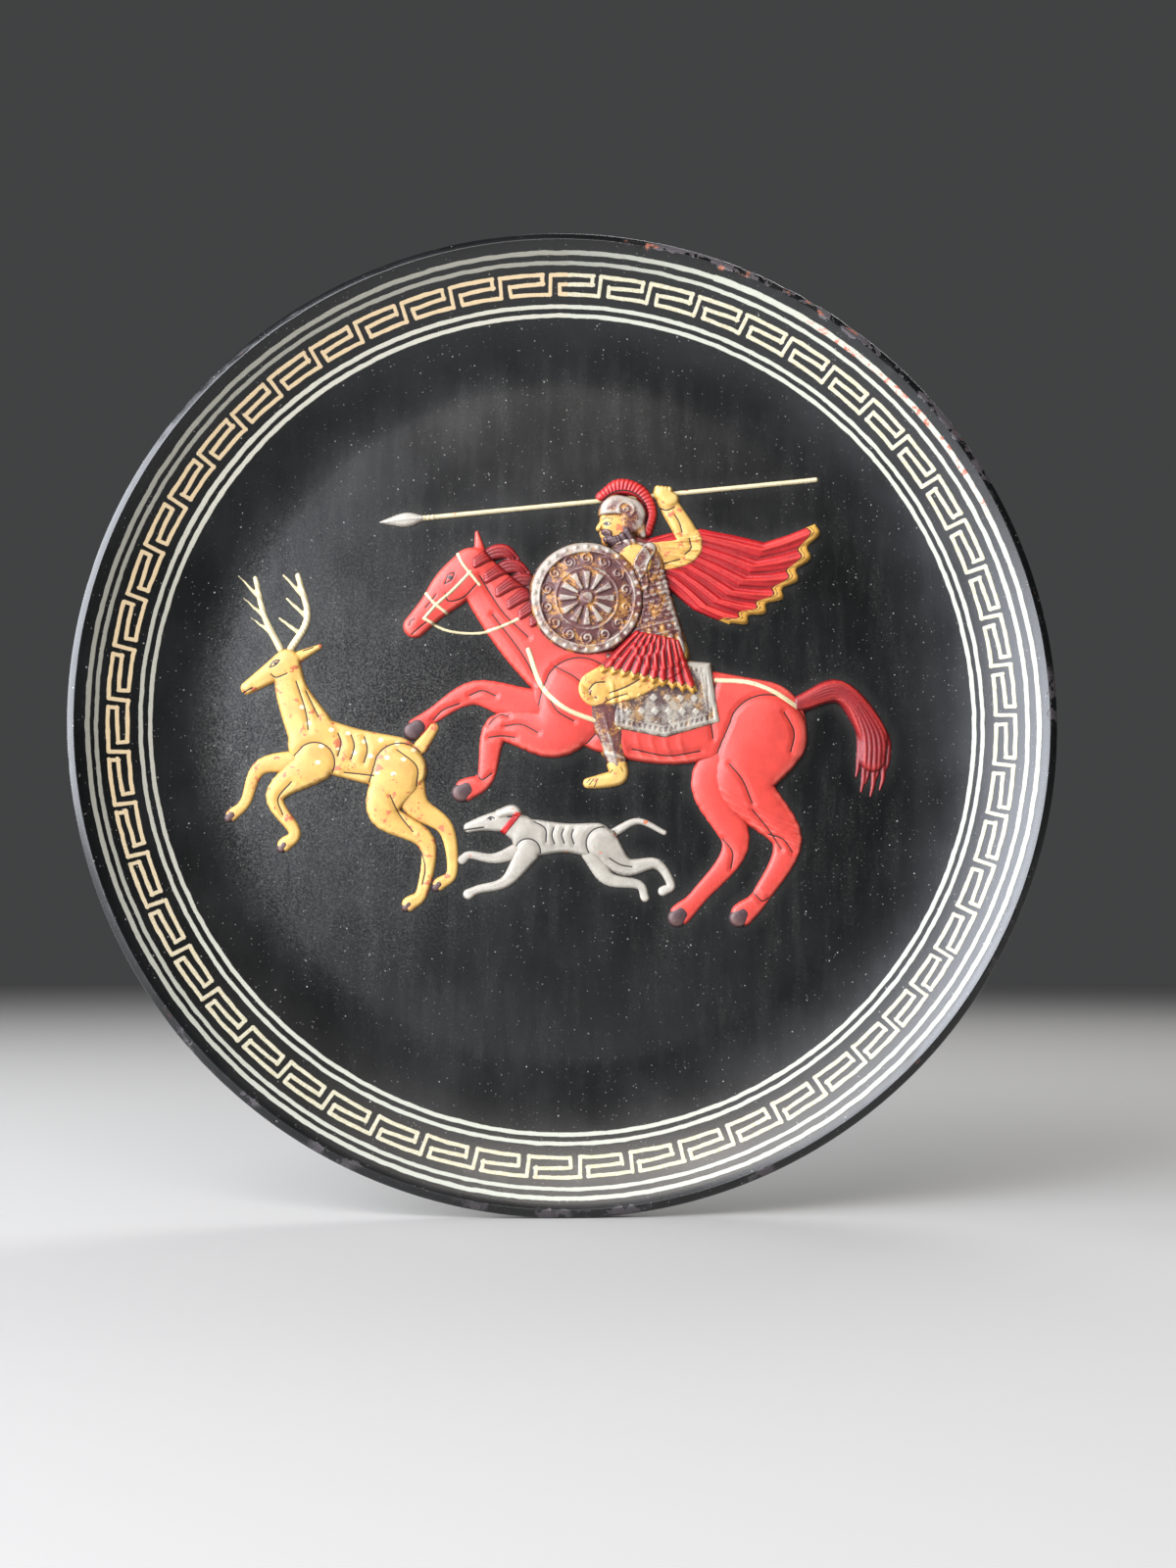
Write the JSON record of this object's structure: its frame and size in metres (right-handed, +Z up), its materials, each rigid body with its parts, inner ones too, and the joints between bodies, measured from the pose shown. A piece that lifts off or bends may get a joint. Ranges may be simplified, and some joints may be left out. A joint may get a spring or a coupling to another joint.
{
  "type": "ceramic relief wall plaque",
  "caption": "Round black ceramic wall plaque: a shallow dish with a key-pattern border, and a mounted hunter, a stag and a hound in painted low relief.",
  "frame": {"origin": "on the flat face of the foot ring behind the plaque, at the top of the ring, midway between the two hanging holes", "axes": "the plaque hangs on a wall: its face looks along -Y, +Y points into the wall, +Z is up and +X is to the viewer's right"},
  "size_m": [0.3, 0.0245, 0.3],
  "materials": {
    "black_slip": "satin"
  },
  "bodies": {
    "root": {"relief_plate": "black_slip"}
  },
  "joints": []
}
